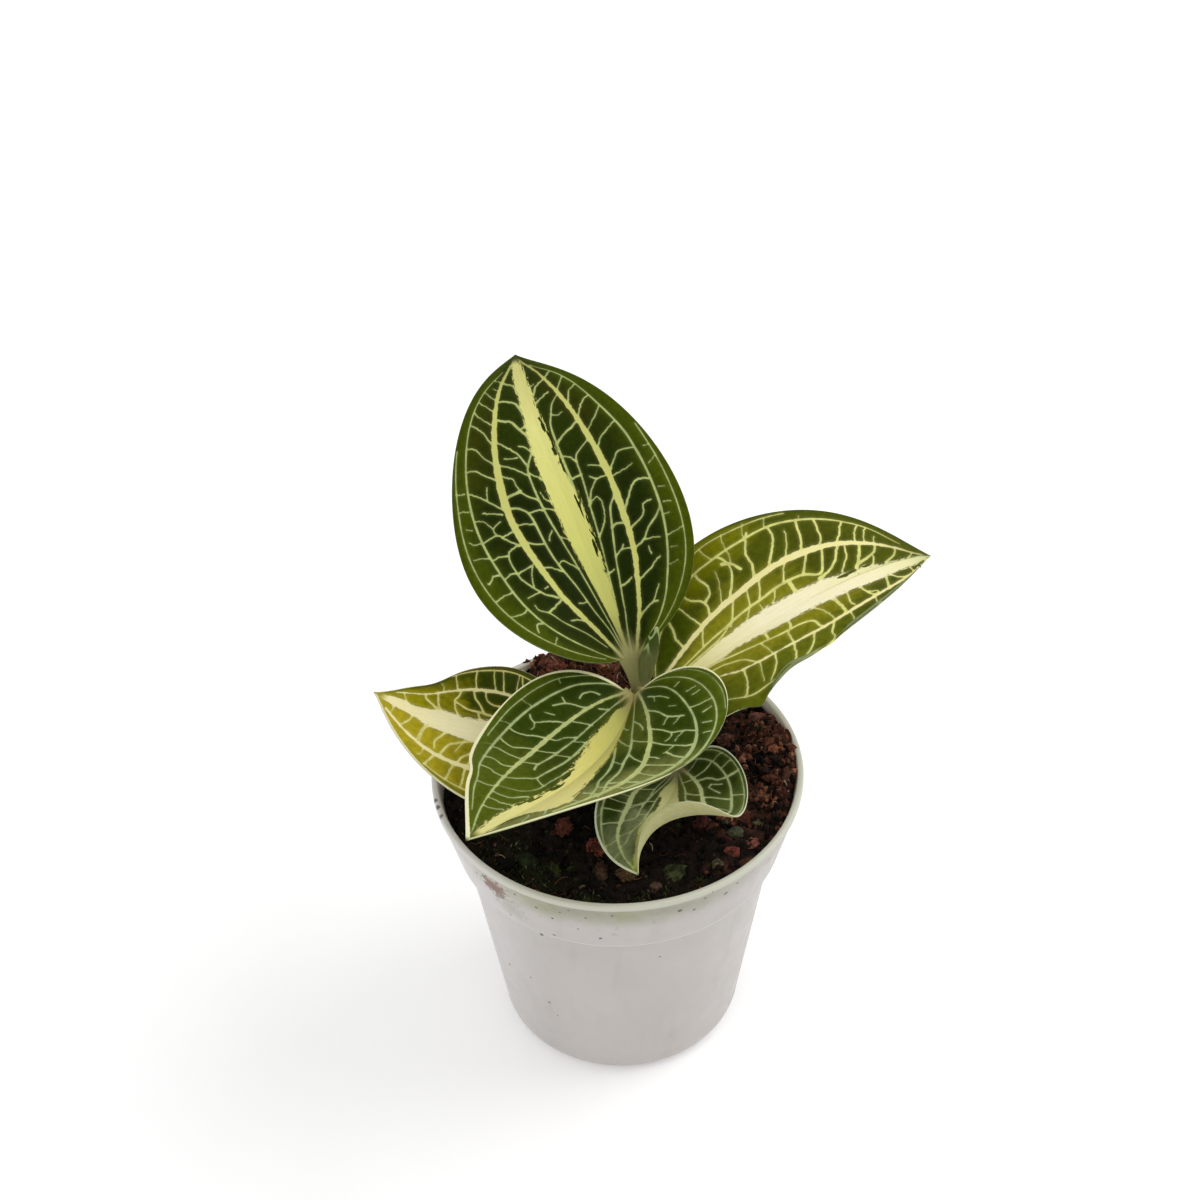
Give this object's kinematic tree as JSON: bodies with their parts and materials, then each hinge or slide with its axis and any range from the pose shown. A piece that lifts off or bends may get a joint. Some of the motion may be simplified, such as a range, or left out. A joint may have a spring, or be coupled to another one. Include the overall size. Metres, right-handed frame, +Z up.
{
  "type": "potted jewel orchid",
  "caption": "Small foliage orchid with broad pale-veined leaves on a short stem, growing in dark potting mix in a thin white plastic nursery pot.",
  "frame": {"origin": "centre of the pot's flat underside", "axes": "+Z up along the pot's axis, -Y towards the viewer of the picture (the front), +X to the viewer's right"},
  "size_m": [0.1034, 0.101, 0.1207],
  "materials": {
    "pot_plastic": "thin, slightly translucent white polypropylene, weathered and algae-stained at the rim",
    "potting_mix": "damp dark coir and bark mix, rough",
    "stem_skin": "soft olive skin, satin",
    "leaf_dark": "velvety dark green with pale gold veins and a pale midrib band",
    "leaf_olive": "olive to yellow-green with cream veins and a cream midrib band",
    "leaf_mid": "mid green with pale veins, a yellow midrib band and a white margin",
    "new_leaf_skin": "grey-green furled leaf with a pale edge",
    "bark": "reddish-brown crumbly coir and bark",
    "grit": "tan and pinkish grit",
    "moss": "dull green moss"
  },
  "bodies": {
    "root": {"bark_chip_01": "bark", "bark_chip_02": "bark", "bark_chip_03": "bark", "bark_chip_04": "bark", "bark_chip_05": "bark", "bark_chip_06": "bark", "bark_chip_07": "bark", "bark_chip_08": "bark", "bark_chip_09": "bark", "bark_chip_10": "bark", "bark_chip_11": "bark", "grit_01": "grit", "grit_02": "grit", "grit_03": "grit", "grit_04": "grit", "grit_05": "grit", "leaf_front": "leaf_mid", "leaf_left": "leaf_olive", "leaf_low": "leaf_mid", "leaf_right": "leaf_olive", "leaf_top": "leaf_dark", "moss_tuft_01": "moss", "moss_tuft_02": "moss", "moss_tuft_03": "moss", "new_leaf": "new_leaf_skin", "pot": "pot_plastic", "potting_mix": "potting_mix", "stem": "stem_skin"}
  },
  "joints": []
}
